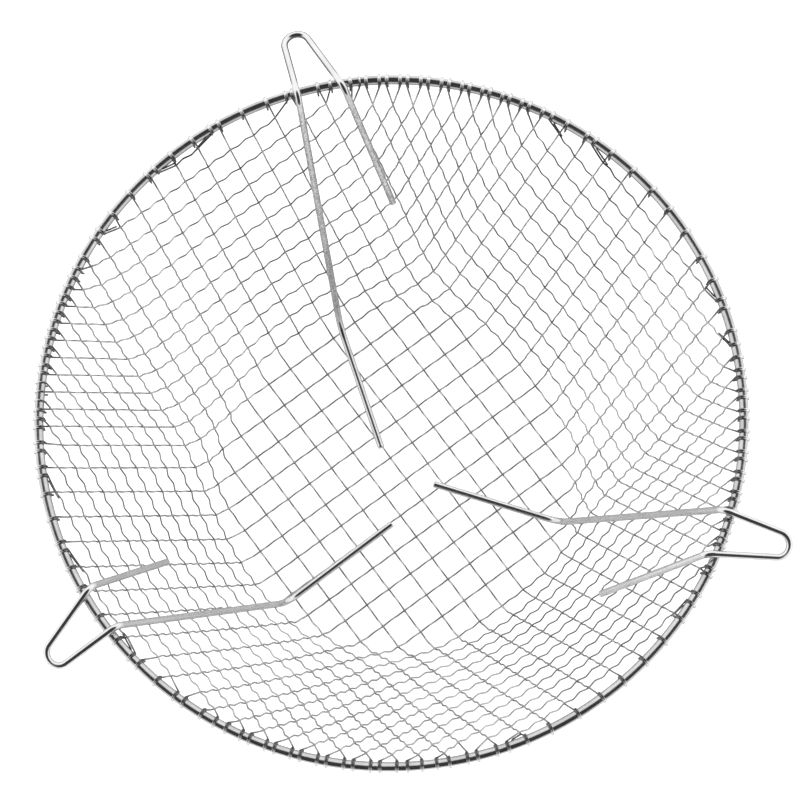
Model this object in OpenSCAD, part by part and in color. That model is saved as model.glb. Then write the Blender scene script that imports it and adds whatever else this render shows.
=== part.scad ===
// Round wire-mesh basket with a flat floor, a sloping wall, a rim hoop and three hairpin hooks.
// The mesh is one square-woven cloth of straight wires, draped over the bowl: every wire keeps
// the same spacing along its length, so the square cells lean into diamonds on the wall.
// Each mesh wire is its own solid, and its ends wrap round the rim hoop.
// The origin is on the axis, in the plane that the basket stands on.

/* [Bowl] */
// Radius of the rim, to the middle of the hoop's wire
rim_r = 149.5; // [140:0.5:165]
// Height of the middle of the hoop's wire above the ground
depth = 124; // [115:1:132]
// Radius at which floor and wall would meet without the rounded corner
floor_r = 76.7; // [70:0.1:82]
// Radius of the rounded corner between floor and wall
corner_r = 10; // [8:0.5:14]

/* [Mesh] */
// Spacing of the mesh wires along one another
pitch = 12; // [11:0.5:14]
// Diameter of a mesh wire
mesh_wire = 0.8; // [0.6:0.1:0.9]
// Place of the middle crossing, in x and y
middle = [3.3, -1.7]; // [-6:0.1:6]
// Lean of the upright wires in the middle of each side: +x, +y, -x, -y
side_lean = [3.1, -0.4, -13.8, 6.6]; // [-16:0.1:16]
// Angle that a wire's end turns round the hoop
wrap = 228; // [180:6:252]

/* [Rim hoop] */
// Diameter of the hoop's wire
hoop_wire = 4; // [3:0.1:5]

/* [Hooks] */
// Diameter of the hooks' wire
hook_wire = 3; // [2:0.1:3.5]
// Bearing of each hook's long leg at the rim
hook_at = [69.6, 181.9, 307.3]; // [0:0.1:360]
// How far each long leg's bearing turns on its way down to the floor
long_leg_turn = [4.5, 10.6, 0.9]; // [-15:0.1:15]
// Turn of each foot away from the radius
foot_turn = [-2, -11.3, -1.9]; // [-20:0.1:20]
// How far each short leg's bearing turns on its way down the wall
short_leg_turn = [-7.6, -3.2, -11.7]; // [-15:0.1:15]
// Sideways swing of each hook's tip
tip_swing = [6.8, 5, 6.7]; // [-10:0.1:10]
// Distance between a hook's two legs at the rim
leg_spacing = 20.6; // [16:0.1:26]
// Reach of a hook's loop from its bends over the rim
hook_reach = 32.7; // [28:0.1:42]
// Slope of a hook's loop below the level
hook_droop = 18.4; // [12:0.1:30]
// Radius of the bend at a hook's tip
tip_r = 5.5; // [4:0.1:7]
// Radius of the bends where a hook crosses the rim
rim_bend_r = 5; // [4:0.5:6]
// Radius of the bend between a hook's long leg and its foot
foot_bend_r = 12; // [10:0.5:14]
// Length of a hook's foot, to the corner of its bend
foot_length = 59; // [45:1:62]
// Length of a hook's short leg down the wall, from the corner of its bend
short_leg = 72; // [50:1:100]

/* [Fit] */
// Gap between wires that touch
play = 0.12; // [0.08:0.01:0.2]

/* [Hidden] */
// A mesh wire is a three-sided bar of the round wire's own cross-section
wire_sides = 3;
wire_out = mesh_wire / 2 * sqrt(2 * PI / (wire_sides * sin(360 / wire_sides)));
wire_in = wire_out * cos(180 / wire_sides);
crimp = (wire_out + wire_in + play) / 2;
// Height of the floor's middle surface
floor_z = crimp + wire_in;
// Distance from the hoop's middle to the middle of a mesh wire that lies on it
seat = hoop_wire / 2 + wire_in + play;
// The wall passes the inner side of the hoop at that distance
to_hoop = norm([rim_r - floor_r, depth - floor_z]);
wall_angle = atan2(depth - floor_z, rim_r - floor_r) + asin(seat / to_hoop);
corner_t = corner_r * tan(wall_angle / 2);
bend_in = floor_r - corner_t;
corner_z = floor_z + corner_r;
tie_z = depth + seat * cos(wall_angle);
// A wire's last crossing stays this far below the hoop
last_drop = pitch / 4 * sin(wall_angle);
// The longest line of crossings from the middle to the rim, with two to spare
across = ceil((floor_r + to_hoop) / pitch) + 2;
// A chord further than this from the bowl gets one more point
max_bow = pitch / 30;
wrap_steps = 3;
wrap_step = wrap / wrap_steps;
// Corner of the wrap's chords, whose middles touch the seat
wrap_r = seat / cos(wrap_step / 2);
// Hooks lie inside the mesh, clear of the chords between its crossings
chord_bow = pitch ^ 2 / (8 * floor_r) * sin(wall_angle);
hook_off = crimp + wire_out + chord_bow + play + hook_wire / 2;
hook_seat = hoop_wire / 2 + play + hook_wire / 2;
// Wire is a fiftieth thicker at each end of a bend, so that straight and bend share solid metal
swell = hook_wire / 50;
hook_count = len(hook_at);
$fn = 48;

function unit(v) = v / norm(v);
function bearing(p) = atan2(p.y, p.x);
function flat(angle) = [cos(angle), sin(angle), 0];
// Where f turns from negative to positive
function root(f, low, high, steps = 24) =
    let (middle = (low + high) / 2)
    steps == 0 ? middle :
    f(middle) < 0 ? root(f, middle, high, steps - 1) : root(f, low, middle, steps - 1);

// ---- the bowl's middle surface ----
function slope(p) = max(0, min(wall_angle, atan2(norm([p.x, p.y]) - bend_in, corner_z - p.z)));
function inward(p) =
    let (s = slope(p))
    [0, 0, cos(s)] - sin(s) * flat(bearing(p));
// Distance of p from the bowl, positive on the inside
function off_bowl(p) =
    let (s = slope(p))
    corner_r - (norm([p.x, p.y]) - bend_in) * sin(s) + (p.z - corner_z) * cos(s);
function inside(p) = !is_undef(p) && p.z < tie_z - last_drop;

// ---- the draped net ----
// One pitch further along the upright in the middle of side number quarter
function climb(p, quarter) =
    let (
        ahead = flat(90 * quarter + (norm([p.x, p.y]) < bend_in ? 0 : side_lean[quarter])),
        at = function (rise) p + pitch * (cos(rise) * ahead + [0, 0, sin(rise)])
    )
    at(root(function (rise) off_bowl(at(rise)), -5, 90));
function upright(quarter) =
    [for (k = 0, p = [middle.x, middle.y, floor_z]; k <= across; k = k + 1, p = climb(p, quarter)) p];
// The crossing one pitch from a and from b, on the far side from c
function swing(a, b, c) =
    let (
        between = (a + b) / 2,
        reach = sqrt(pitch ^ 2 - (b - a) * (b - a) / 4),
        out = unit(between - c),
        side = cross(unit(b - a), out),
        up = side * inward(between) < 0 ? -side : side,
        at = function (turn) between + reach * (cos(turn) * out + sin(turn) * up)
    )
    at(root(function (turn) off_bowl(at(turn)), -80, 80));
function place(a, b, c) =
    is_undef(a) || is_undef(b) || is_undef(c) ? undef :
    inside(a) || inside(b) ? swing(a, b, c) : undef;
function next_row(row, first) =
    [for (i = 0, p = first; i <= across; i = i + 1, p = i > across ? undef : place(p, row[i], row[i - 1])) p];
function quadrant(along, up) =
    [for (j = 0, row = along; j <= across; j = j + 1, row = j > across ? undef : next_row(row, up[j])) row];

UPRIGHTS = [for (quarter = [0:3]) upright(quarter)];
QUADRANTS = [for (x = [0, 2]) [for (y = [1, 3]) quadrant(UPRIGHTS[x], UPRIGHTS[y])]];
// Crossing number i along x and j along y, counted from the middle one
function crossing(i, j) = QUADRANTS[i < 0 ? 1 : 0][j < 0 ? 1 : 0][abs(j)][abs(i)];
// Wires of family 0 run along x, and those of family 1 along y
function on_wire(family, n, k) = family == 0 ? crossing(k, n) : crossing(n, k);
// The net passes over and under by turns
function lifted(family, n, k) =
    let (p = on_wire(family, n, k))
    p + ((n + k) % 2 == 0 ? 1 : -1) * (family == 0 ? -1 : 1) * crimp * inward(p);
function crossings(family, n) = [for (k = [-across:across]) if (inside(on_wire(family, n, k))) k];

// ---- the hooks ----
// Where a leg's line on the wall meets its line over the hoop, from the hoop's middle
function rim_corner() =
    let (
        reach = seat + hook_off,
        turn = sin(wall_angle + hook_droop)
    )
    [(reach * cos(hook_droop) - hook_seat * cos(wall_angle)) / -turn,
     (reach * sin(hook_droop) + hook_seat * sin(wall_angle)) / turn];
function rim_point(angle) =
    let (c = rim_corner())
    (rim_r + c[0]) * flat(angle) + [0, 0, depth + c[1]];
// Direction of the leg that leaves p and touches the tip's bend, whose centre is c, on the side
// that wide points to
function leg_way(p, c, out, wide) =
    let (
        back = (c - p) * out,
        off = (p - c) * wide,
        lean = acos(tip_r / norm([back, off])) - atan2(back, off)
    )
    cos(lean) * out - sin(lean) * wide;
// Where the line from p along a meets the line from q along b
function meet(p, a, q, b) =
    let (n = cross(a, b))
    p + a * (cross(q - p, b) * n) / (n * n);
function hook_path(h) =
    let (
        long_at = hook_at[h],
        short_at = long_at - leg_spacing / rim_r * 180 / PI,
        long_rim = rim_point(long_at),
        short_rim = rim_point(short_at),
        aim = (long_at + short_at) / 2,
        start = (long_rim + short_rim) / 2,
        ahead = hook_reach * (cos(hook_droop) * flat(aim) - [0, 0, sin(hook_droop)]),
        tip = start + ahead + tip_swing[h] * flat(aim + 90),
        out = unit(tip - start),
        legs = long_rim - short_rim,
        wide = unit(legs - (legs * out) * out),
        tip_centre = tip - tip_r * out,
        long_way = leg_way(long_rim, tip_centre, out, wide),
        short_way = leg_way(short_rim, tip_centre, out, -wide),
        floor_at = long_at + long_leg_turn[h],
        foot_corner = (floor_r - hook_off * tan(wall_angle / 2)) * flat(floor_at)
            + [0, 0, floor_z + hook_off],
        end_r = norm([short_rim.x, short_rim.y]) - short_leg * cos(wall_angle),
        end_z = short_rim.z - short_leg * sin(wall_angle)
    )
    [
        foot_corner + foot_length * flat(floor_at + 180 + foot_turn[h]),
        foot_corner,
        long_rim,
        meet(long_rim, long_way, short_rim, short_way),
        short_rim,
        end_r * flat(short_at + short_leg_turn[h]) + [0, 0, end_z]
    ];
// Bearing at which the leg from p towards q crosses the hoop, and how far to either side it
// keeps the ends of the mesh wires from turning round the hoop
function leg_over_hoop(p, q) =
    let (
        way = unit(q - p),
        at = p + (rim_r - norm([p.x, p.y])) / (way * flat(bearing(p))) * way,
        skew = bearing(way) - bearing(at),
        half_width = hook_wire / 2 / cos(skew) + (wrap_r + wire_out) * abs(tan(skew))
    )
    [bearing(at), (half_width + wire_out + play) / rim_r * 180 / PI];
LEGS = [
    for (h = [0:hook_count - 1])
        let (path = hook_path(h))
        each [leg_over_hoop(path[2], path[3]), leg_over_hoop(path[4], path[3])]
];

// ---- the ends of the mesh wires ----
// A wire heads for the hoop at least this share of a pitch short of a crossing or past it, so
// that no two wires meet there
end_share = 0.25;
// Wires that would end under a hook's leg end beside it, and crowd those next to them a little
crowd = 2.2;
function apart(a, b) = (a - b + 540) % 360 - 180;
function beside_legs(angle, k = 0) =
    k == len(LEGS) ? angle :
    let (
        gap = apart(angle, LEGS[k][0]),
        clear = LEGS[k][1]
    )
    abs(gap) >= crowd * clear ? beside_legs(angle, k + 1) :
    LEGS[k][0] + (gap < 0 ? -1 : 1) * (clear + abs(gap) * (crowd - 1) / crowd);
function on_hoop(angle, r, turn) =
    rim_r * flat(angle) + [0, 0, depth] + r * (cos(turn) * flat(angle) + [0, 0, sin(turn)]);
// Points and outward directions of the wrap after crossing k of a wire, whose next one is at step
function wrap_end(family, n, k, step) =
    let (
        last = on_wire(family, n, k),
        next = on_wire(family, n, k + step),
        part = max(end_share, min(1 - end_share, (tie_z - last.z) / (next.z - last.z))),
        angle = beside_legs(bearing(last + part * (next - last))),
        corners = [for (turn = [0:wrap_steps - 1]) [wrap_r, wrap_step * (turn + 0.5)]]
    )
    [
        for (place = concat([[seat, 0]], corners, [[seat, wrap]]))
            let (at = 90 + wall_angle - place[1])
            [on_hoop(angle, place[0], at), on_hoop(angle, 1, at) - on_hoop(angle, 0, at)]
    ];
// A point of the bowl halfway along a chord that strays from it
function between(family, n, k) =
    let (
        middle = (on_wire(family, n, k) + on_wire(family, n, k + 1)) / 2,
        bow = off_bowl(middle)
    )
    abs(bow) < max_bow ? [] : [[middle - bow * inward(middle), inward(middle)]];
function reversed(list) = [for (i = [len(list) - 1:-1:0]) list[i]];
function mesh_path(family, n) =
    let (
        ks = crossings(family, n),
        first = ks[0],
        last = ks[len(ks) - 1]
    )
    concat(
        reversed(wrap_end(family, n, first, -1)),
        [
            for (k = [first:last])
                each concat(
                    [[lifted(family, n, k), inward(on_wire(family, n, k))]],
                    k < last ? between(family, n, k) : []
                )
        ],
        wrap_end(family, n, last, 1)
    );

// ---- sweeping a wire's bar along its points ----
// One ring of the bar, with a flat side outwards, mitred where the wire bends
function ring(path, i) =
    let (
        before = unit(path[max(i, 1)][0] - path[max(i, 1) - 1][0]),
        after = i < len(path) - 1 ? unit(path[i + 1][0] - path[i][0]) : before,
        along = unit(before + after),
        normal = unit(path[i][1] - (path[i][1] * along) * along),
        side = cross(along, normal),
        turn = after - before,
        kink = norm(turn) < 1e-6 ? normal : unit(turn),
        widen = 1 / (along * before) - 1
    )
    [
        for (k = [0:wire_sides - 1])
            let (
                angle = k * 360 / wire_sides,
                v = wire_out * (cos(angle) * normal + sin(angle) * side)
            )
            path[i][0] + v + widen * (v * kink) * kink
    ];
function bar_points(path) = [for (i = [0:len(path) - 1]) each ring(path, i)];
function bar_faces(count, base) =
    let (n = wire_sides)
    concat(
        [[for (k = [0:n - 1]) base + k]],
        [
            for (i = [0:count - 2], k = [0:n - 1])
                let (
                    a = base + i * n + k,
                    b = base + i * n + (k + 1) % n
                )
                each [[a, a + n, b], [b, a + n, b + n]]
        ],
        [[for (k = [n - 1:-1:0]) base + (count - 1) * n + k]]
    );
module bars(paths) {
    starts = [for (i = 0, s = 0; i < len(paths); s = s + len(paths[i]) * wire_sides, i = i + 1) s];
    polyhedron(
        points = [for (path = paths) each bar_points(path)],
        faces = [for (i = [0:len(paths) - 1]) each bar_faces(len(paths[i]), starts[i])]
    );
}

// ---- wire bent from a round rod ----
// Columns x, y and z of a frame, and its origin
module frame(x, y, z, origin) {
    multmatrix([[x.x, y.x, z.x, origin.x], [x.y, y.y, z.y, origin.y], [x.z, y.z, z.z, origin.z]])
        children();
}
// A straight stretch, with a bead at each end that joins a bend
module rod(from, to, wire, first, last) {
    z = unit(to - from);
    x = unit(cross(z, abs(z.z) < 0.9 ? [0, 0, 1] : [1, 0, 0]));
    long = norm(to - from);
    frame(x, cross(z, x), z, from) {
        cylinder(d = wire, h = long);
        if (!first) sphere(d = wire + swell);
        if (!last) translate([0, 0, long]) sphere(d = wire + swell);
    }
}
// A bend of radius r at corner, between the directions in and out
module elbow(corner, in, out, r, wire) {
    angle = acos(in * out);
    x = -unit(out - (out * in) * in);
    z = cross(x, in);
    centre = corner - r * tan(angle / 2) * in - r * x;
    frame(x, in, z, centre)
        rotate_extrude(angle = angle) translate([r, 0]) circle(d = wire);
}
module bent_wire(path, radii, wire) {
    count = len(path);
    ways = [for (i = [0:count - 2]) unit(path[i + 1] - path[i])];
    trims = [
        for (i = [0:count - 1])
            i == 0 || i == count - 1 ? 0 : radii[i - 1] * tan(acos(ways[i - 1] * ways[i]) / 2)
    ];
    for (i = [0:count - 2]) {
        from = path[i] + trims[i] * ways[i];
        to = path[i + 1] - trims[i + 1] * ways[i];
        rod(from, to, wire, i == 0, i == count - 2);
        if (i > 0) elbow(path[i], ways[i - 1], ways[i], radii[i - 1], wire);
    }
}

// ---- the pieces ----
module rim_hoop() {
    color("silver")
        translate([0, 0, depth])
            rotate_extrude($fn = 180) translate([rim_r, 0]) circle(d = hoop_wire, $fn = 24);
}
module hook(h) {
    color("gainsboro")
        bent_wire(hook_path(h), [foot_bend_r, rim_bend_r, tip_r, rim_bend_r], hook_wire);
}
// The wires number n on either side of the middle one
module mesh_wires(family, n) {
    both = n == 0 ? [0] : [-n, n];
    color(family == 0 ? "darkgray" : "lightgray")
        bars([for (m = both) if (len(crossings(family, m)) > 1) mesh_path(family, m)]);
}

function numbered(stem, n) = str(stem, n < 10 ? "0" : "", n);
function wire_counts(family) =
    [for (n = [0:across]) if (len(crossings(family, n)) > 1 || len(crossings(family, -n)) > 1) n];
HOOKS = [for (h = [0:hook_count - 1]) str("hook_", h + 1)];
CROSSWAYS = wire_counts(0);
LENGTHWAYS = wire_counts(1);

rim_hoop();
for (h = [0:hook_count - 1])
    hook(h);
for (n = CROSSWAYS)
    mesh_wires(0, n);
for (n = LENGTHWAYS)
    mesh_wires(1, n);
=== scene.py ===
# Looks of a round wire-mesh basket with a rim hoop and three hairpin hooks

import random
from math import acos, asin, atan2, ceil, cos, degrees, hypot, pi, radians, sin, sqrt, tan

import bmesh
import bpy
from mathutils import Matrix, Vector


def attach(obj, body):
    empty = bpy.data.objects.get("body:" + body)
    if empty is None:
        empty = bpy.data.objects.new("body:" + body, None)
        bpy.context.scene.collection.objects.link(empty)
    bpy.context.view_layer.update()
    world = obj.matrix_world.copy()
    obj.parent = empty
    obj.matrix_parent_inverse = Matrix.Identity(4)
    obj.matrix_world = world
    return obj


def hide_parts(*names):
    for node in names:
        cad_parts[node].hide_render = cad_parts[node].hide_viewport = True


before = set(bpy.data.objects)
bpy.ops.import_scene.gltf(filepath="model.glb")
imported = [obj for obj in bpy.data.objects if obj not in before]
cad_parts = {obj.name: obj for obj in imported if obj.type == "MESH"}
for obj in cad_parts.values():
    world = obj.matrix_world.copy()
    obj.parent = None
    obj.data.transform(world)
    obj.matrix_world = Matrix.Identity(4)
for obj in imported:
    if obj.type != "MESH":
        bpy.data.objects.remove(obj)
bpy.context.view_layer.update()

MM = 0.001

# ---- sizes in millimetres and degrees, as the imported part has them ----
RIM_R = 149.5
DEPTH = 124
FLOOR_R = 76.7
CORNER_R = 10
PITCH = 12
MESH_WIRE = 0.8
# Place of the net's middle crossing, and how far its four uprights lean sideways on the wall
MIDDLE = (3.3, -1.7)
SIDE_LEAN = (3.1, -0.4, -13.8, 6.6)
HOOP_WIRE = 4
HOOK_WIRE = 3
# Bearing of each hook's long leg at the hoop, and what differs from hook to hook
HOOK_AT = (69.6, 181.9, 307.3)
LONG_LEG_TURN = (4.5, 10.6, 0.9)
FOOT_TURN = (-2, -11.3, -1.9)
SHORT_LEG_TURN = (-7.6, -3.2, -11.7)
TIP_SWING = (6.8, 5, 6.7)
# What is the same for all the hooks
LEG_SPACING = 20.6
HOOK_REACH = 32.7
HOOK_DROOP = 18.4
TIP_R = 5.5
RIM_BEND_R = 5
FOOT_BEND_R = 12
FOOT_LENGTH = 59
SHORT_LEG = 72
# Gap between wires that touch
PLAY = 0.12

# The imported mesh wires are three-sided bars, which set where floor, wall and hoop lie, and
# their ends wrap the hoop by this angle in this many flats
BAR_WRAP = 228
BAR_WRAP_FLATS = 3
BAR_OUT = MESH_WIRE / 2 * sqrt(2 * pi / (3 * sin(radians(120))))
BAR_IN = BAR_OUT / 2
BAR_CRIMP = (BAR_OUT + BAR_IN + PLAY) / 2
FLOOR_Z = BAR_CRIMP + BAR_IN
SEAT = HOOP_WIRE / 2 + BAR_IN + PLAY
TO_HOOP = hypot(RIM_R - FLOOR_R, DEPTH - FLOOR_Z)
WALL_ANGLE = degrees(atan2(DEPTH - FLOOR_Z, RIM_R - FLOOR_R) + asin(SEAT / TO_HOOP))
BEND_IN = FLOOR_R - CORNER_R * tan(radians(WALL_ANGLE / 2))
CORNER_Z = FLOOR_Z + CORNER_R
TIE_Z = DEPTH + SEAT * cos(radians(WALL_ANGLE))
LAST_DROP = PITCH / 4 * sin(radians(WALL_ANGLE))
# Pitches from the middle crossing that reach past the hoop on every side
ACROSS = ceil((FLOOR_R + TO_HOOP) / PITCH) + 2
WRAP_R = SEAT / cos(radians(BAR_WRAP / BAR_WRAP_FLATS / 2))
CHORD_BOW = PITCH ** 2 / (8 * FLOOR_R) * sin(radians(WALL_ANGLE))
HOOK_OFF = BAR_CRIMP + BAR_OUT + CHORD_BOW + PLAY + HOOK_WIRE / 2
HOOK_SEAT = HOOP_WIRE / 2 + PLAY + HOOK_WIRE / 2

# ---- how the round wires run ----
# Height of a mesh wire's waves, so that crossing wires all but touch
CRIMP = MESH_WIRE / 2 + 0.01
# The wire is crimped three times from one crossing to the next, a little deeper on the wall
CRIMPS = 3
WALL_CRIMP = 0.10
# Sideways sway of a mesh wire between crossings
SWAY = 0.12
# How sharply its crimps are bent: 0 is a soft wave, and 1 is a zigzag
CRIMP_BEND = 0.94
# Points of a mesh wire from one crossing to the next
WAVE_STEPS = 12
# Points of its run from the last crossing up to the hoop
RUN_UP = (0.25, 0.5, 0.75)
# A wire's end turns round the hoop by this angle, or by a whole turn more where there is room,
# and by a little more or less each time
WRAP = 250
WRAP_SPREAD = (-12, 8)
WRAP_STEP = 20
# Room along the hoop that one turn takes, and that two ends with two turns each need
TURN_WIDTH = 0.86
ROOM_FOR_TWO = 4.3
# The cut end then points inwards, with a tip that turns back to the wire
TAIL = 1.9
TAIL_SPREAD = (0.85, 1.1)
TAIL_TIP = 0.8
# Where the wire runs nearly along the hoop, as far as this share, its end lies beside it
# instead, a little behind it and from this far down
SLANT = 0.72
SLANT_TAIL = 7
SLANT_TAIL_SPREAD = (0.6, 1.3)
SLANT_TAIL_FROM = 3.4
SLANT_TAIL_BEHIND = 0.4
# Where in its last pitch an end may meet the hoop, and from how far off, in half widths of a
# leg, the ends give way to the legs of the hooks
END_SHARE = 0.25
CROWD = 2.2
SEED = 7

# ---- how fine the sums and the meshes are ----
HALVINGS = 24
# Ends that lie closer than this, in degrees, are one and the same
SAME_BEARING = 1e-6
# Distance in metres at which points become one
WELD = 1e-7
# Degrees of a hook's bend from one point to the next
BEND_STEP = 6
HOOP_STEPS = 240
HOOP_SIDES = 20
HOOK_ROUNDNESS = 6
MESH_ROUNDNESS = 2
# Width of the broken edge round the cut ends of the hooks
CUT_EDGE = 0.35


def unit(v):
    return v.normalized()


def flat(angle):
    return Vector((cos(radians(angle)), sin(radians(angle)), 0))


def bearing(p):
    return degrees(atan2(p.y, p.x))


def root(f, low, high):
    """Where f turns from negative to positive."""
    for _ in range(HALVINGS):
        middle = (low + high) / 2
        if f(middle) < 0:
            low = middle
        else:
            high = middle
    return (low + high) / 2


# ---- the bowl's middle surface ----
def slope(p):
    """Steepness of the bowl beside p, in degrees."""
    out = hypot(p.x, p.y) - BEND_IN
    return max(0, min(WALL_ANGLE, degrees(atan2(out, CORNER_Z - p.z))))


def inward(p):
    s = radians(slope(p))
    return Vector((0, 0, cos(s))) - sin(s) * flat(bearing(p))


def off_bowl(p):
    """Distance of p from the bowl, positive on the inside."""
    s = radians(slope(p))
    return CORNER_R - (hypot(p.x, p.y) - BEND_IN) * sin(s) + (p.z - CORNER_Z) * cos(s)


def inside(p):
    """Whether a crossing is there and lies well below the hoop."""
    return p is not None and p.z < TIE_Z - LAST_DROP


# ---- the draped net: its crossings, counted from the middle one ----
def climb(p, quarter):
    """One pitch further along the upright in the middle of a side."""
    lean = 0 if hypot(p.x, p.y) < BEND_IN else SIDE_LEAN[quarter]
    ahead = flat(90 * quarter + lean)

    def at(rise):
        return p + PITCH * (cos(radians(rise)) * ahead + Vector((0, 0, sin(radians(rise)))))

    return at(root(lambda rise: off_bowl(at(rise)), -5, 90))


def upright(quarter):
    """The crossings from the middle one out along one of the four axes."""
    line = [Vector((*MIDDLE, FLOOR_Z))]
    for _ in range(ACROSS):
        line.append(climb(line[-1], quarter))
    return line


def swing(a, b, c):
    """The crossing one pitch from a and from b, on the far side from c."""
    between = (a + b) / 2
    reach = sqrt(PITCH ** 2 - (b - a).length_squared / 4)
    out = unit(between - c)
    side = unit(b - a).cross(out)
    up = -side if side.dot(inward(between)) < 0 else side

    def at(turn):
        return between + reach * (cos(radians(turn)) * out + sin(radians(turn)) * up)

    return at(root(lambda turn: off_bowl(at(turn)), -80, 80))


def draped_net():
    """All crossings, keyed by their numbers along x and along y."""
    net = {}
    lines = [upright(quarter) for quarter in range(4)]
    for along, across, sx, sy in ((0, 1, 1, 1), (0, 3, 1, -1), (2, 1, -1, 1), (2, 3, -1, -1)):
        for k in range(ACROSS + 1):
            net[sx * k, 0] = lines[along][k]
            net[0, sy * k] = lines[across][k]
        for j in range(1, ACROSS + 1):
            for i in range(1, ACROSS + 1):
                a = net.get((sx * (i - 1), sy * j))
                b = net.get((sx * i, sy * (j - 1)))
                c = net.get((sx * (i - 1), sy * (j - 1)))
                if a and b and c and (inside(a) or inside(b)):
                    net[sx * i, sy * j] = swing(a, b, c)
    return net


NET = draped_net()


def on_wire(family, n, k):
    """Wires of family 0 run along x, and those of family 1 along y."""
    return NET.get((k, n) if family == 0 else (n, k))


def over(family, n, k):
    """1 where the wire passes inside the wire that it crosses, and -1 where it passes outside."""
    return (1 if (n + k) % 2 == 0 else -1) * (-1 if family == 0 else 1)


def crossings(family, n):
    """Numbers of the crossings on the wire."""
    return [k for k in range(-ACROSS, ACROSS + 1) if inside(on_wire(family, n, k))]


# ---- the hooks' centre lines ----
def rim_point(angle):
    """Where a leg's line on the wall meets its line over the hoop."""
    reach = SEAT + HOOK_OFF
    wall, droop = radians(WALL_ANGLE), radians(HOOK_DROOP)
    turn = sin(wall + droop)
    inner = -(reach * cos(droop) - HOOK_SEAT * cos(wall)) / turn
    above = (reach * sin(droop) + HOOK_SEAT * sin(wall)) / turn
    return (RIM_R + inner) * flat(angle) + Vector((0, 0, DEPTH + above))


def leg_way(p, centre, out, wide):
    """Direction of the leg that leaves p and touches the tip's bend on the side of wide."""
    back = (centre - p).dot(out)
    off = (p - centre).dot(wide)
    lean = acos(TIP_R / hypot(back, off)) - atan2(back, off)
    return cos(lean) * out - sin(lean) * wide


def meet(p, a, q, b):
    """Where the line from p along a meets the one from q along b."""
    n = a.cross(b)
    return p + a * ((q - p).cross(b).dot(n) / n.dot(n))


def hook_corners(h):
    """Corners of a hook's wire, from the end of its foot to the end of its short leg."""
    long_at = HOOK_AT[h]
    short_at = long_at - degrees(LEG_SPACING / RIM_R)
    long_rim, short_rim = rim_point(long_at), rim_point(short_at)
    aim = (long_at + short_at) / 2
    droop = radians(HOOK_DROOP)
    start = (long_rim + short_rim) / 2
    ahead = HOOK_REACH * (cos(droop) * flat(aim) - Vector((0, 0, sin(droop))))
    tip = start + ahead + TIP_SWING[h] * flat(aim + 90)
    out = unit(tip - start)
    legs = long_rim - short_rim
    wide = unit(legs - legs.dot(out) * out)
    centre = tip - TIP_R * out
    long_way = leg_way(long_rim, centre, out, wide)
    short_way = leg_way(short_rim, centre, out, -wide)
    floor_at = long_at + LONG_LEG_TURN[h]
    wall = radians(WALL_ANGLE)
    foot_corner = (FLOOR_R - HOOK_OFF * tan(wall / 2)) * flat(floor_at)
    foot_corner.z = FLOOR_Z + HOOK_OFF
    end_r = hypot(short_rim.x, short_rim.y) - SHORT_LEG * cos(wall)
    short_end = end_r * flat(short_at + SHORT_LEG_TURN[h])
    short_end.z = short_rim.z - SHORT_LEG * sin(wall)
    return [
        foot_corner + FOOT_LENGTH * flat(floor_at + 180 + FOOT_TURN[h]),
        foot_corner,
        long_rim,
        meet(long_rim, long_way, short_rim, short_way),
        short_rim,
        short_end,
    ]


def bent(corners, radii):
    """The corners joined by straights and by bends of these radii."""
    points = [corners[0]]
    for before, at, after, r in zip(corners, corners[1:], corners[2:], radii):
        come, go = unit(at - before), unit(after - at)
        angle = come.angle(go)
        inner = unit(go - go.dot(come) * come)
        centre = at - r * tan(angle / 2) * come + r * inner
        count = max(2, ceil(degrees(angle) / BEND_STEP))
        for k in range(count + 1):
            a = angle * k / count
            points.append(centre + r * (sin(a) * come - cos(a) * inner))
    points.append(corners[-1])
    return points


def leg_over_hoop(p, q):
    """Bearing at which a leg crosses the hoop, and how far it keeps the mesh's ends away."""
    way = unit(q - p)
    at = p + (RIM_R - hypot(p.x, p.y)) / way.dot(flat(bearing(p))) * way
    skew = radians(bearing(way) - bearing(at))
    half_width = HOOK_WIRE / 2 / cos(skew) + (WRAP_R + BAR_OUT) * abs(tan(skew))
    return bearing(at), degrees((half_width + BAR_OUT + PLAY) / RIM_R)


HOOK_CORNERS = [hook_corners(h) for h in range(len(HOOK_AT))]
LEGS = [
    leg_over_hoop(rim, tip)
    for _, _, long_rim, tip, short_rim, _ in HOOK_CORNERS
    for rim in (long_rim, short_rim)
]


# ---- the ends of the mesh wires ----
def beside_legs(angle):
    """The bearing, moved aside where a leg of a hook takes its place on the hoop."""
    for leg, clear in LEGS:
        gap = (angle - leg + 540) % 360 - 180
        if abs(gap) < CROWD * clear:
            away = clear + abs(gap) * (CROWD - 1) / CROWD
            return leg + (away if gap > 0 else -away)
    return angle


def on_hoop(angle, r, turn):
    """The point at r from the hoop's centre line, turned up from outwards."""
    a = radians(turn)
    middle = RIM_R * flat(angle) + Vector((0, 0, DEPTH))
    return middle + r * (cos(a) * flat(angle) + Vector((0, 0, sin(a))))


def end_bearing(family, n, k, step):
    """Where on the hoop a wire ends, after its last crossing k on the side of step."""
    last, after = on_wire(family, n, k), on_wire(family, n, k + step)
    share = (TIE_Z - last.z) / (after.z - last.z)
    share = max(END_SHARE, min(1 - END_SHARE, share))
    return beside_legs(bearing(last + share * (after - last)))


def all_ends():
    """Bearing of each end of each mesh wire, in order round the hoop."""
    ends = []
    for family in (0, 1):
        for n in range(-ACROSS, ACROSS + 1):
            ks = crossings(family, n)
            if len(ks) > 1:
                ends.append(end_bearing(family, n, ks[0], -1) % 360)
                ends.append(end_bearing(family, n, ks[-1], 1) % 360)
    return sorted(ends)


ENDS = all_ends()


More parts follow.
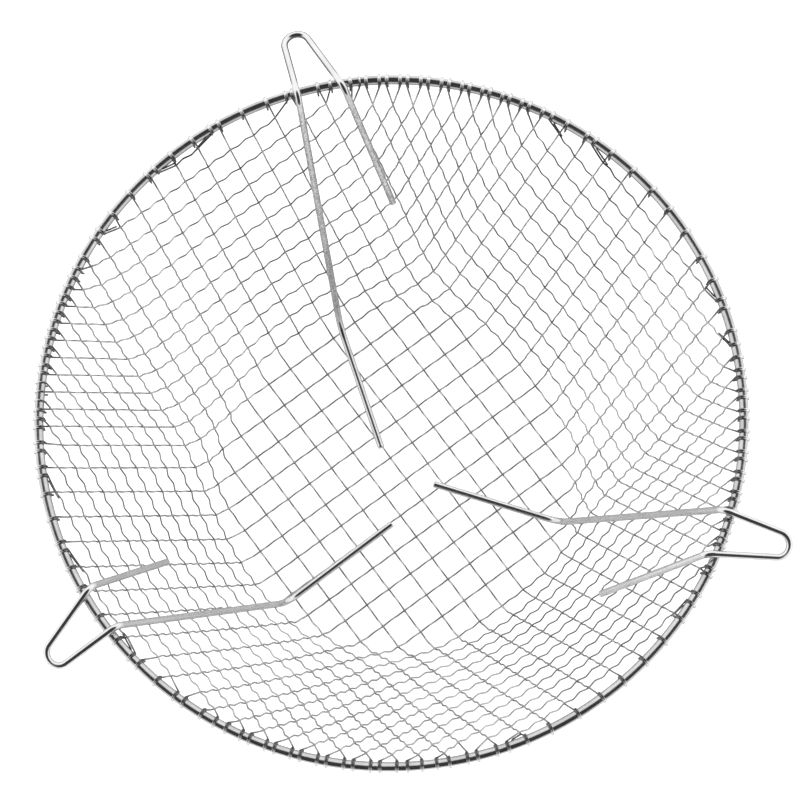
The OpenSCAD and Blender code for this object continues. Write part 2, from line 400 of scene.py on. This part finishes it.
def room_beside(angle):
    """Room along the hoop, in millimetres, to the next end on either side of this one."""
    gaps = [(other - angle) % 360 for other in ENDS]
    gaps = [gap for gap in gaps if SAME_BEARING < gap < 360 - SAME_BEARING]
    after = min(gaps)
    before = min(360 - gap for gap in gaps)
    return radians(before) * RIM_R, radians(after) * RIM_R


def wrapped_end(family, n, k, step, chance):
    """From just after the last crossing, round the hoop and back beside the wire."""
    last = on_wire(family, n, k)
    angle = end_bearing(family, n, k, step)
    start = 90 + WALL_ANGLE
    r = (HOOP_WIRE + MESH_WIRE) / 2
    seat = on_hoop(angle, r, start)
    lift = over(family, n, k) * CRIMP
    points = []
    for s in RUN_UP:
        p = last.lerp(seat, s)
        points.append(p + lift * cos(pi / 2 * s) * inward(p))
    before, after = room_beside(angle % 360)
    side = 1 if after > before else -1
    turns = 1 if max(before, after) > ROOM_FOR_TWO else 0
    wrap = WRAP + 360 * turns + chance.uniform(*WRAP_SPREAD)
    count = ceil(wrap / WRAP_STEP)
    for i in range(count + 1):
        turned = wrap * i / count
        along = side * degrees(TURN_WIDTH / RIM_R) * min(1, turned / 360)
        points.append(on_hoop(angle + along, r, start - turned))
    way = unit(last - seat)
    if abs(way.dot(flat(angle + 90))) > SLANT:
        across = unit(inward(last).cross(way))
        if across.dot(flat(angle + 90)) < 0:
            across = -across
        beside = side * across - SLANT_TAIL_BEHIND * inward(last)
        meets = seat + SLANT_TAIL_FROM * way + MESH_WIRE * beside
        points.append(meets)
        points.append(meets + SLANT_TAIL * chance.uniform(*SLANT_TAIL_SPREAD) * way)
    else:
        a = radians(start - wrap)
        back = sin(a) * flat(angle + along) - Vector((0, 0, cos(a)))
        points.append(points[-1] + TAIL * chance.uniform(*TAIL_SPREAD) * back)
        points.append(points[-1] + TAIL_TIP * unit(back + way))
    return points


def mesh_wire_points(family, n, chance):
    """Centre line of a whole mesh wire, with its crimps and both its ends."""
    ks = crossings(family, n)
    first, last = ks[0], ks[-1]
    points = wrapped_end(family, n, first, -1, chance)[::-1]
    for k in range(first, last + 1):
        p = on_wire(family, n, k)
        lift = over(family, n, k) * CRIMP
        points.append(p + lift * inward(p))
        if k == last:
            break
        q = on_wire(family, n, k + 1)
        up = slope((p + q) / 2) / WALL_ANGLE
        sway = SWAY * chance.uniform(-1, 1)
        for s in range(1, WAVE_STEPS):
            t = s / WAVE_STEPS
            middle = p.lerp(q, t)
            out = inward(middle)
            middle = middle - off_bowl(middle) * out
            across = unit(out.cross(q - p))
            deeper = over(family, n, k) * WALL_CRIMP * up * sin(pi * t)
            wave = (lift + deeper) * asin(CRIMP_BEND * cos(CRIMPS * pi * t)) / asin(CRIMP_BEND)
            points.append(middle + wave * out + sin(pi * t) * sway * across)
    return points + wrapped_end(family, n, last, 1, chance)


# ---- making pieces ----
def finish_piece(obj, material, slot, *nodes):
    """Gives the piece its steel, hangs it on the root body, and hides the imported parts that it
    stands for.
    """
    obj.data.materials.clear()
    obj.data.materials.append(material)
    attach(obj, "root")
    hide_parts(*nodes)


def swept(name, paths, wire, around, trimmed=0.0):
    """Round wire along each path, as one mesh with its ends closed.

    Its cut ends are broken by trimmed.
    """
    curve = bpy.data.curves.new(name, "CURVE")
    curve.dimensions = "3D"
    curve.bevel_depth = wire / 2 * MM
    curve.bevel_resolution = around
    curve.use_fill_caps = True
    for points in paths:
        if trimmed:
            ahead, behind = unit(points[1] - points[0]), unit(points[-2] - points[-1])
            points = [
                points[0], points[0] + trimmed * ahead, points[0] + 2 * trimmed * ahead,
                *points[1:-1],
                points[-1] + 2 * trimmed * behind, points[-1] + trimmed * behind, points[-1],
            ]
        spline = curve.splines.new("POLY")
        spline.points.add(len(points) - 1)
        for place, p in zip(spline.points, points):
            place.co = (*(p * MM), 1)
        if trimmed:
            for end in (0, -1):
                spline.points[end].radius = 1 - 2 * trimmed / wire
        spline.use_smooth = True
    holder = bpy.data.objects.new(name + ".line", curve)
    bpy.context.scene.collection.objects.link(holder)
    bpy.context.view_layer.update()
    mesh = bpy.data.meshes.new_from_object(holder)
    bpy.data.objects.remove(holder)
    mesh.name = name
    bm = bmesh.new()
    bm.from_mesh(mesh)
    bmesh.ops.remove_doubles(bm, verts=bm.verts, dist=WELD)
    bmesh.ops.recalc_face_normals(bm, faces=bm.faces)
    for face in bm.faces:
        face.smooth = len(face.verts) == 4
    bm.to_mesh(mesh)
    bm.free()
    obj = bpy.data.objects.new(name, mesh)
    bpy.context.scene.collection.objects.link(obj)
    return obj


def ring(name, r, height, wire, around, sides):
    """A closed ring of round wire."""
    bm = bmesh.new()
    bmesh.ops.create_circle(bm, segments=sides, radius=wire / 2 * MM)
    bmesh.ops.rotate(bm, verts=bm.verts, matrix=Matrix.Rotation(pi / 2, 3, "X"))
    bmesh.ops.translate(bm, verts=bm.verts, vec=(r * MM, 0, height * MM))
    bmesh.ops.spin(
        bm, geom=bm.edges[:], axis=(0, 0, 1), cent=(0, 0, height * MM),
        angle=2 * pi, steps=around, use_merge=True,
    )
    bmesh.ops.recalc_face_normals(bm, faces=bm.faces)
    for face in bm.faces:
        face.smooth = True
    mesh = bpy.data.meshes.new(name)
    bm.to_mesh(mesh)
    bm.free()
    obj = bpy.data.objects.new(name, mesh)
    bpy.context.scene.collection.objects.link(obj)
    return obj


# ---- finishes ----
# Clouds, grain and specks go by features to the metre, their edges by the noise's value, and
# the grain's depth by millimetres
CLOUDS = 90
CLOUD_DETAIL = 4
CLOUD_EDGES = (0.35, 0.65)
GRAIN_DETAIL = 6
GRAIN_EDGES = (0.3, 0.7)
GRAIN_DEPTH = 0.1
SPECKS = 1100
SPECK_DETAIL = 3
SPECK_EDGES = (0.38, 0.62)
# Steel's reflection at a glancing angle
GLANCING = 0.7
# Painted shade on the mesh wires just inside the hoop, where they bend up to it: its tone, and
# how far from the hoop that reaches
WRAP_SHADE_TONE = (0.35, 0.35, 0.36, 1)
WRAP_SHADE_WIDTH = 5.6
WRAP_SHADE_EDGES = (0.3, 0.85)
# Painted highlight on the mesh wires' wraps further out: its tone, half the width of the change,
# and how far the ring's middle lies off the origin, which the hoop's leaning also turns about
WRAP_HIGHLIGHT_TONE = 0.98
WRAP_HIGHLIGHT_EDGE = 0.4
RING_MIDDLE_OFF = (0.6, 1.04, 0)
# Where the grey hook's speckled legs end below the hoop and above the floor, where its loop
# begins beyond the hoop, and how upright a surface counts as a side of the loop, which gets
# painted shade
LEG_BELOW_HOOP = (-12, -4)
LEG_ABOVE_FLOOR = (0, 4)
LOOP_BEYOND_HOOP = (2, 5)
SIDE_EDGES = (0.6, 0.85)


def grey(tone):
    return (tone, tone, tone, 1)


def put(tree, node, inputs):
    """Links the inputs that are given a socket, and sets the others to the value."""
    for key, value in inputs.items():
        if isinstance(value, bpy.types.NodeSocket):
            tree.links.new(value, node.inputs[key])
        else:
            node.inputs[key].default_value = value


def add(tree, kind, inputs, **settings):
    node = tree.nodes.new("ShaderNode" + kind)
    for key, value in settings.items():
        setattr(node, key, value)
    put(tree, node, inputs)
    return node


def calculate(tree, operation, a, b):
    return add(tree, "Math", {0: a, 1: b}, operation=operation).outputs[0]


def vector(tree, operation, *parts):
    node = add(tree, "VectorMath", dict(enumerate(parts)), operation=operation)
    return node.outputs["Value" if operation in ("LENGTH", "DOT_PRODUCT") else "Vector"]


def fade(tree, value, low, high, start=0, end=1):
    """From start to end while the value goes from low to high, and level outside that."""
    limits = {"From Min": low, "From Max": high, "To Min": start, "To Max": end}
    return add(tree, "MapRange", {"Value": value, **limits}).outputs["Result"]


def ramp(tree, value, stops):
    """Colours at the stops, which are pairs of place and colour."""
    node = add(tree, "ValToRGB", {"Fac": value})
    elements = node.color_ramp.elements
    for element, (at, colour) in zip(elements, (stops[0], stops[-1])):
        element.position = at
        element.color = colour
    for at, colour in stops[1:-1]:
        elements.new(at).color = colour
    return node.outputs["Color"]


def noise(tree, place, scale, detail):
    inputs = {"Vector": place, "Scale": scale, "Detail": detail}
    return add(tree, "TexNoise", inputs).outputs["Fac"]


def blend(tree, share, under, upper, kind):
    inputs = {"Fac": share, "Color1": under, "Color2": upper}
    return add(tree, "MixRGB", inputs, blend_type=kind).outputs["Color"]


def mix_shaders(tree, share, first, second):
    return add(tree, "MixShader", {"Fac": share, 1: first, 2: second}).outputs[0]


def steel(name, dark, light, roughness, grain, bump, highlight_r=None, leaning=0.0):
    """Bare steel wire: cloudy tone, fine drawing grain and a little unevenness.

    Further out than the radius that sets the painted highlight, in millimetres, its colour is
    lighter, a painted highlight, and just short of there it is darker, a painted shade. Its
    surface leans inwards, away from round, by leaning.
    """
    mat = bpy.data.materials.new(name)
    mat.use_nodes = True
    tree = mat.node_tree
    place = add(tree, "TexCoord", {}).outputs["Object"]
    clouds = noise(tree, place, CLOUDS, CLOUD_DETAIL)
    colour = ramp(tree, clouds, list(zip(CLOUD_EDGES, ((*dark, 1), (*light, 1)))))
    level = vector(tree, "MULTIPLY_ADD", place, (1, 1, 0), [part * MM for part in RING_MIDDLE_OFF])
    if highlight_r is not None:
        # Painted shade just inside the given radius, and a painted highlight beyond it
        radius = vector(tree, "LENGTH", level)
        near = fade(tree, radius, (highlight_r - WRAP_SHADE_WIDTH) * MM, highlight_r * MM)
        shade_band = [(0, grey(1)), *((at, WRAP_SHADE_TONE) for at in WRAP_SHADE_EDGES), (1, grey(1))]
        colour = blend(tree, 1, colour, ramp(tree, near, shade_band), "MULTIPLY")
        beyond = fade(tree, radius, (highlight_r - WRAP_HIGHLIGHT_EDGE) * MM, (highlight_r + WRAP_HIGHLIGHT_EDGE) * MM)
        colour = blend(tree, beyond, colour, grey(WRAP_HIGHLIGHT_TONE), "MIX")
    fine = noise(tree, place, grain, GRAIN_DETAIL)
    dents = {"Strength": bump, "Distance": GRAIN_DEPTH * MM, "Height": fine}
    normal = add(tree, "Bump", dents).outputs["Normal"]
    if leaning:
        outward = vector(tree, "NORMALIZE", level)
        lean = add(tree, "VectorMath", {0: outward, "Scale": -leaning}, operation="SCALE")
        normal = vector(tree, "NORMALIZE", vector(tree, "ADD", normal, lean.outputs[0]))
    put(tree, tree.nodes["Principled BSDF"], {
        "Base Color": colour,
        "Metallic": 1.0,
        "Roughness": fade(tree, fine, *GRAIN_EDGES, *roughness),
        "Specular Tint": grey(GLANCING),
        "Normal": normal,
    })
    return mat


def speckled_and_side_shaded(mat, speckled, sides):
    """Gives a hook's steel speckled grey legs, and painted shade on the sides of its loop."""
    tree = mat.node_tree
    base = tree.nodes["Principled BSDF"].inputs["Base Color"]
    place = add(tree, "TexCoord", {})
    radius = vector(
        tree, "LENGTH", vector(tree, "MULTIPLY", place.outputs["Object"], (1, 1, 0)))

    def between(middle, edges, start, end):
        low, high = ((middle + edge) * MM for edge in edges)
        return fade(tree, radius, low, high, start, end)

    below_hoop = between(RIM_R, LEG_BELOW_HOOP, 1, 0)
    above_floor = between(FLOOR_R, LEG_ABOVE_FLOOR, 0, 1)
    leg = calculate(tree, "MULTIPLY", below_hoop, above_floor)
    specks = noise(tree, place.outputs["Object"], SPECKS, SPECK_DETAIL)
    tones = ramp(tree, specks, list(zip(SPECK_EDGES, map(grey, speckled))))
    colour = blend(tree, leg, base.links[0].from_socket, tones, "MULTIPLY")
    # Painted shade: beyond the hoop the loop is darker where its surface faces sideways
    upright = add(tree, "SeparateXYZ", {"Vector": place.outputs["Normal"]}).outputs["Z"]
    side = fade(tree, upright, *SIDE_EDGES, 1, 0)
    loop = between(RIM_R, LOOP_BEYOND_HOOP, 0, 1)
    loop_side_shade = calculate(tree, "MULTIPLY", loop, side)
    tree.links.new(blend(tree, loop_side_shade, colour, grey(sides), "MULTIPLY"), base)
    return mat


# The mesh wires carry a painted highlight where they wrap over the hoop, and painted shade just
# inside it
MESH_STEEL = steel(
    "mesh steel", dark=(0.48, 0.48, 0.49), light=(0.68, 0.68, 0.68),
    roughness=(0.04, 0.10), grain=900, bump=0.08, highlight_r=RIM_R + 0.2,
)
HOOP_STEEL = steel(
    "hoop steel", dark=(0.64, 0.64, 0.65), light=(0.80, 0.80, 0.80),
    roughness=(0.16, 0.26), grain=700, bump=0.12, leaning=0.2,
)
HOOK_STEEL = steel(
    "hook steel", dark=(0.88, 0.88, 0.89), light=(0.97, 0.97, 0.97),
    roughness=(0.06, 0.16), grain=800, bump=0.15,
)
# Hook 1's steel has speckled legs, and painted shade on the sides of its loop
GREY_HOOK_STEEL = speckled_and_side_shaded(
    steel(
        "grey hook steel", dark=(0.86, 0.86, 0.87), light=(0.97, 0.97, 0.97),
        roughness=(0.06, 0.16), grain=800, bump=0.15,
    ),
    speckled=(0.52, 0.96), sides=0.25,
)

# ---- the pieces ----
hoop = ring("rim_hoop_wire", RIM_R, DEPTH, HOOP_WIRE, HOOP_STEPS, HOOP_SIDES)
finish_piece(hoop, HOOP_STEEL, "hoop_wire", "rim_hoop")

for h, corners in enumerate(HOOK_CORNERS):
    line = bent(corners, (FOOT_BEND_R, RIM_BEND_R, TIP_R, RIM_BEND_R))
    piece = swept(f"hook_{h + 1}_wire", [line], HOOK_WIRE, HOOK_ROUNDNESS, trimmed=CUT_EDGE)
    hook_steel = GREY_HOOK_STEEL if h == 0 else HOOK_STEEL
    finish_piece(piece, hook_steel, "hook_wire", f"hook_{h + 1}")

chance = random.Random(SEED)
for family, stem in enumerate(("weft_wires_", "warp_wires_")):
    for n in range(ACROSS + 1):
        node = f"{stem}{n:02d}"
        numbers = [m for m in ((0,) if n == 0 else (-n, n)) if len(crossings(family, m)) > 1]
        if not numbers:
            continue
        paths = [mesh_wire_points(family, m, chance) for m in numbers]
        piece = swept(node + "_woven", paths, MESH_WIRE, MESH_ROUNDNESS)
        finish_piece(piece, MESH_STEEL, "mesh_wire", node)

# ---- floor, light and camera ----
# The camera's right, up and backward directions, and its place in metres
CAMERA_RIGHT = (0.80706, -0.58995, -0.02472)
CAMERA_UP = (0.57875, 0.78205, 0.23117)
CAMERA_BACK = (-0.11705, -0.20088, 0.97260)
CAMERA_AT = (-0.2378, -0.4174, 2.1639)
# Focal length and width of the picture in pixels, and width of the sensor in millimetres
FOCAL_LENGTH = 4943
PICTURE = 800
SENSOR = 36
FAR = 20
# Half widths of the dark opening overhead, how far it lies to the front, and its tones
OPENING_ACROSS = 0.75
OPENING_ALONG = 0.83
OPENING_SHIFT = 0.25
OPENING_TONES = ((0.40, 0.04), (0.47, 0.14), (0.5, 0.42), (0.53, 0.85), (0.62, 1))
AMBIENT = 0.45
# A disc in metres, just under the basket
FLOOR_DISC = 6
FLOOR_SIDES = 64
FLOOR_DROP = 0.0004
FLOOR_TONE = 0.85
FLOOR_GLOW = 0.8
# What metal sees of the floor's glow: under the basket, beyond its shade, and from where to where
SHADE_GLOW = (0.1, 0.32)
SHADE_EDGES = (0.19, 0.30)
# Name, place in metres and watts
LAMP_WIDTH = 1.0
LAMPS = (("key", (-1.2, 0.9, 1.3), 14), ("fill", (1.3, -0.9, 1.2), 9))


def studio_world():
    """White all round, with a dark opening overhead, which only metal shows."""
    world = bpy.data.worlds.new("studio")
    bpy.context.scene.world = world
    world.use_nodes = True
    tree = world.node_tree
    tree.nodes.clear()
    way = add(tree, "TexCoord", {}).outputs["Generated"]
    across = vector(tree, "DOT_PRODUCT", way, Vector(CAMERA_RIGHT) / OPENING_ACROSS)
    along = vector(tree, "DOT_PRODUCT", way, Vector(CAMERA_UP) / OPENING_ALONG)
    shifted = calculate(tree, "ADD", along, OPENING_SHIFT)
    from_middle = add(tree, "CombineXYZ", {0: across, 1: shifted}).outputs[0]
    half = calculate(tree, "MULTIPLY", vector(tree, "LENGTH", from_middle), 0.5)
    tent = ramp(tree, half, [(at, grey(tone)) for at, tone in OPENING_TONES])
    shown = add(tree, "Background", {"Color": tent}).outputs[0]
    plain = add(tree, "Background", {"Color": grey(1), "Strength": 1.0}).outputs[0]
    soft = add(tree, "Background", {"Strength": AMBIENT}).outputs[0]
    rays = add(tree, "LightPath", {})
    unseen = mix_shaders(tree, rays.outputs["Is Glossy Ray"], soft, shown)
    seen = mix_shaders(tree, rays.outputs["Is Camera Ray"], unseen, plain)
    add(tree, "OutputWorld", {"Surface": seen})


def white_floor():
    bm = bmesh.new()
    bmesh.ops.create_circle(bm, cap_ends=True, segments=FLOOR_SIDES, radius=FLOOR_DISC)
    mesh = bpy.data.meshes.new("floor")
    bm.to_mesh(mesh)
    bm.free()
    floor = bpy.data.objects.new("floor", mesh)
    bpy.context.scene.collection.objects.link(floor)
    floor.location.z = -FLOOR_DROP
    mat = bpy.data.materials.new("white floor")
    mat.use_nodes = True
    tree = mat.node_tree
    tree.nodes.clear()
    matt = add(tree, "BsdfDiffuse", {"Color": grey(FLOOR_TONE)}).outputs[0]
    rays = add(tree, "LightPath", {}).outputs
    # Metal sees it dimmer under the basket, whose shade lies there
    radius = vector(tree, "LENGTH", add(tree, "TexCoord", {}).outputs["Object"])
    shade = fade(tree, radius, *SHADE_EDGES, *SHADE_GLOW)
    camera_glow = calculate(tree, "MULTIPLY", rays["Is Camera Ray"], FLOOR_GLOW)
    strength = calculate(tree, "MAXIMUM", shade, camera_glow)
    glow = add(tree, "Emission", {"Strength": strength}).outputs[0]
    glowing = add(tree, "AddShader", {0: matt, 1: glow}).outputs[0]
    # Camera, metal and glass see the glow, and the basket isn't lit by it
    either = calculate(tree, "MAXIMUM", rays["Is Camera Ray"], rays["Is Glossy Ray"])
    any_of = calculate(tree, "MAXIMUM", either, rays["Is Transmission Ray"])
    add(tree, "OutputMaterial", {"Surface": mix_shaders(tree, any_of, matt, glowing)})
    mesh.materials.append(mat)


def soft_lamp(name, place, power):
    light = bpy.data.lights.new(name, "AREA")
    light.shape = "SQUARE"
    light.size = LAMP_WIDTH
    light.energy = power
    lamp = bpy.data.objects.new(name, light)
    lamp.location = place
    lamp.rotation_euler = (-Vector(place)).to_track_quat("-Z", "Y").to_euler()
    lamp.visible_glossy = False
    bpy.context.scene.collection.objects.link(lamp)


def placed_camera():
    data = bpy.data.cameras.new("camera")
    data.sensor_width = SENSOR
    data.lens = FOCAL_LENGTH / PICTURE * SENSOR
    data.clip_end = FAR
    camera = bpy.data.objects.new("camera", data)
    columns = (CAMERA_RIGHT, CAMERA_UP, CAMERA_BACK, CAMERA_AT)
    camera.matrix_world = Matrix((*zip(*columns), (0, 0, 0, 1)))
    bpy.context.scene.collection.objects.link(camera)
    return camera


studio_world()
white_floor()
for name, place, power in LAMPS:
    soft_lamp(name, place, power)
bpy.context.scene.camera = placed_camera()
bpy.context.scene.view_settings.view_transform = "Standard"
